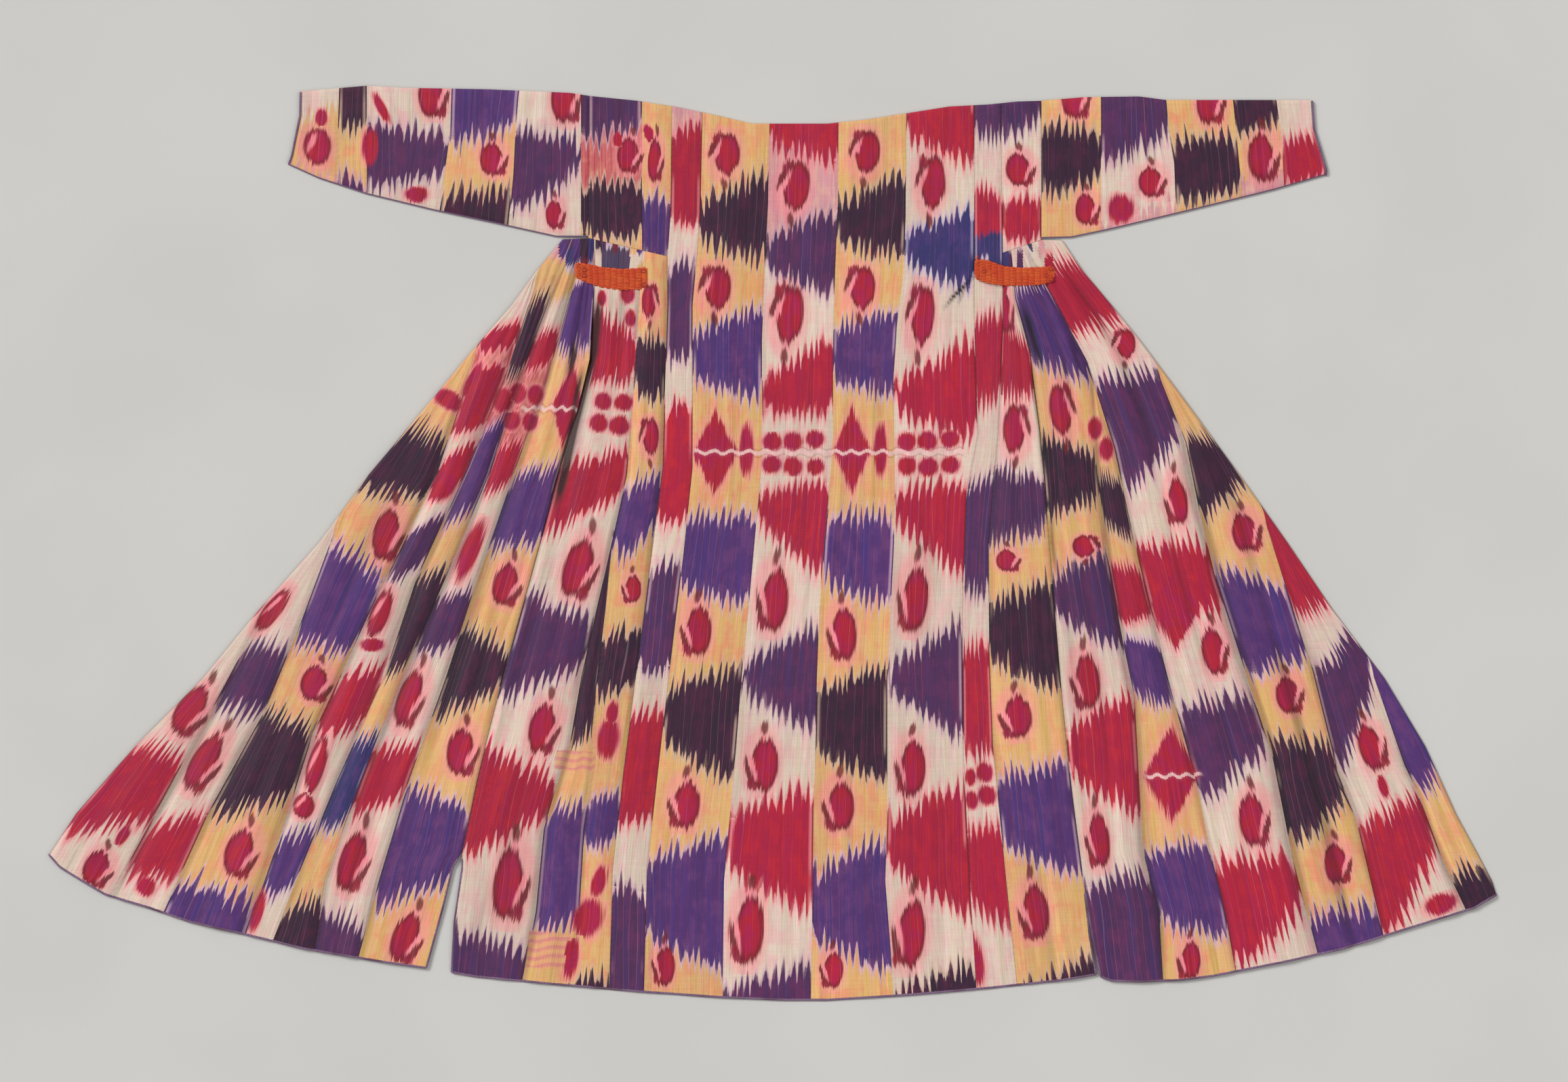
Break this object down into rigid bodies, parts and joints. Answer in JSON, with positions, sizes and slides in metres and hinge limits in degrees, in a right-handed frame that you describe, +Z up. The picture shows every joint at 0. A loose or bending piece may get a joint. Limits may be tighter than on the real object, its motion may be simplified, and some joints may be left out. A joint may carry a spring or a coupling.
{
  "type": "ikat robe laid flat",
  "caption": "Open-fronted woman's ikat robe of Central Asia with gathered skirt sides and spread sleeves, laid flat on its fronts with the back upward.",
  "frame": {"origin": "middle of the laid robe's bounding box in plan, on the surface it lies on", "axes": "+Z up out of the surface, +Y from hem to neck, +X towards the right of the lying robe seen from above with the neck away"},
  "size_m": [2.029, 1.281, 0.0084],
  "materials": {
    "back_centre": "ribbed silk and cotton cloth, warp ikat in red, violet, yellow and white",
    "back_strip": "ribbed silk and cotton cloth, warp ikat in red, violet, yellow and white",
    "back_side": "ribbed silk and cotton cloth, warp ikat in red, violet, yellow and white",
    "sleeve": "ribbed silk and cotton cloth, warp ikat in red, violet, yellow and white",
    "skirt_inner": "ribbed silk and cotton cloth, warp ikat in red, violet, yellow and white",
    "skirt_outer": "ribbed silk and cotton cloth, warp ikat in red, violet, yellow and white",
    "gather_band": "dense rows of orange stitching over the gathers",
    "front": "ribbed silk and cotton cloth, warp ikat in red, violet, yellow and white",
    "skirt_front": "ribbed silk and cotton cloth, warp ikat in red, violet, yellow and white"
  },
  "bodies": {
    "root": {"back_centre": "back_centre", "back_strip_left": "back_strip", "back_strip_right": "back_strip", "back_side_left": "back_side", "back_side_right": "back_side", "sleeve_left": "sleeve", "sleeve_right": "sleeve", "skirt_left_inner": "skirt_inner", "skirt_right_inner": "skirt_inner", "skirt_left_outer": "skirt_outer", "skirt_right_outer": "skirt_outer", "gather_band_left": "gather_band", "gather_band_right": "gather_band", "front_left": "front", "front_right": "front", "skirt_front_left": "skirt_front", "skirt_front_right": "skirt_front"}
  },
  "joints": []
}
